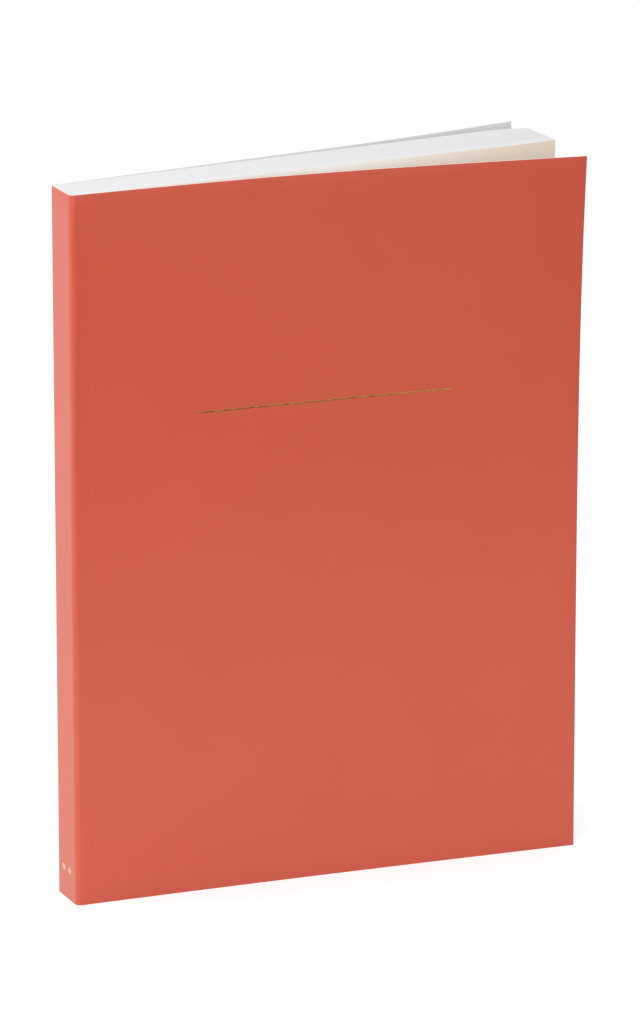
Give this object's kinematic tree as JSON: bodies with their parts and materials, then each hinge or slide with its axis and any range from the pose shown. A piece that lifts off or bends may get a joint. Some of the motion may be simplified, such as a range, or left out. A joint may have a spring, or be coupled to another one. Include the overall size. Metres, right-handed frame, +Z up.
{
  "type": "softcover notebook",
  "caption": "Softcover notebook standing on its tail, with a glued square spine, curled card covers hinged at scored creases, a fanned white page block and a fine gold foil rule",
  "frame": {"origin": "on the tail face that the book stands on, half-way along the closed book's width and in the middle of the spine's thickness", "axes": "+Z up from tail to head, +X from the spine to the fore-edge, +Y from the front cover to the back cover"},
  "size_m": [0.155, 0.0502, 0.21],
  "materials": {
    "cover_card": "matte laminated card, coral outside",
    "page_paper": "uncoated",
    "flyleaf_paper": "uncoated, cream",
    "binding_glue": "satin",
    "gold_foil": "hot-stamped foil"
  },
  "bodies": {
    "block": {"spine": "cover_card", "page_block": "page_paper", "front_flyleaf": "flyleaf_paper", "back_flyleaf": "flyleaf_paper", "spine_glue": "binding_glue", "spine_marks": "gold_foil"},
    "front": {"front_cover": "cover_card", "title_rule": "gold_foil"},
    "back": {"back_cover": "cover_card"}
  },
  "joints": [
    {"name": "front_cover_hinge", "type": "hinge", "parent": "block", "child": "front", "pos_m": [-0.072, -0.00775, 0.105], "axis": [0, 0, -1], "range_deg": [-3, 170]},
    {"name": "back_cover_hinge", "type": "hinge", "parent": "block", "child": "back", "pos_m": [-0.072, 0.00775, 0.105], "axis": [0, 0, 1], "range_deg": [-1.5, 165]}
  ]
}
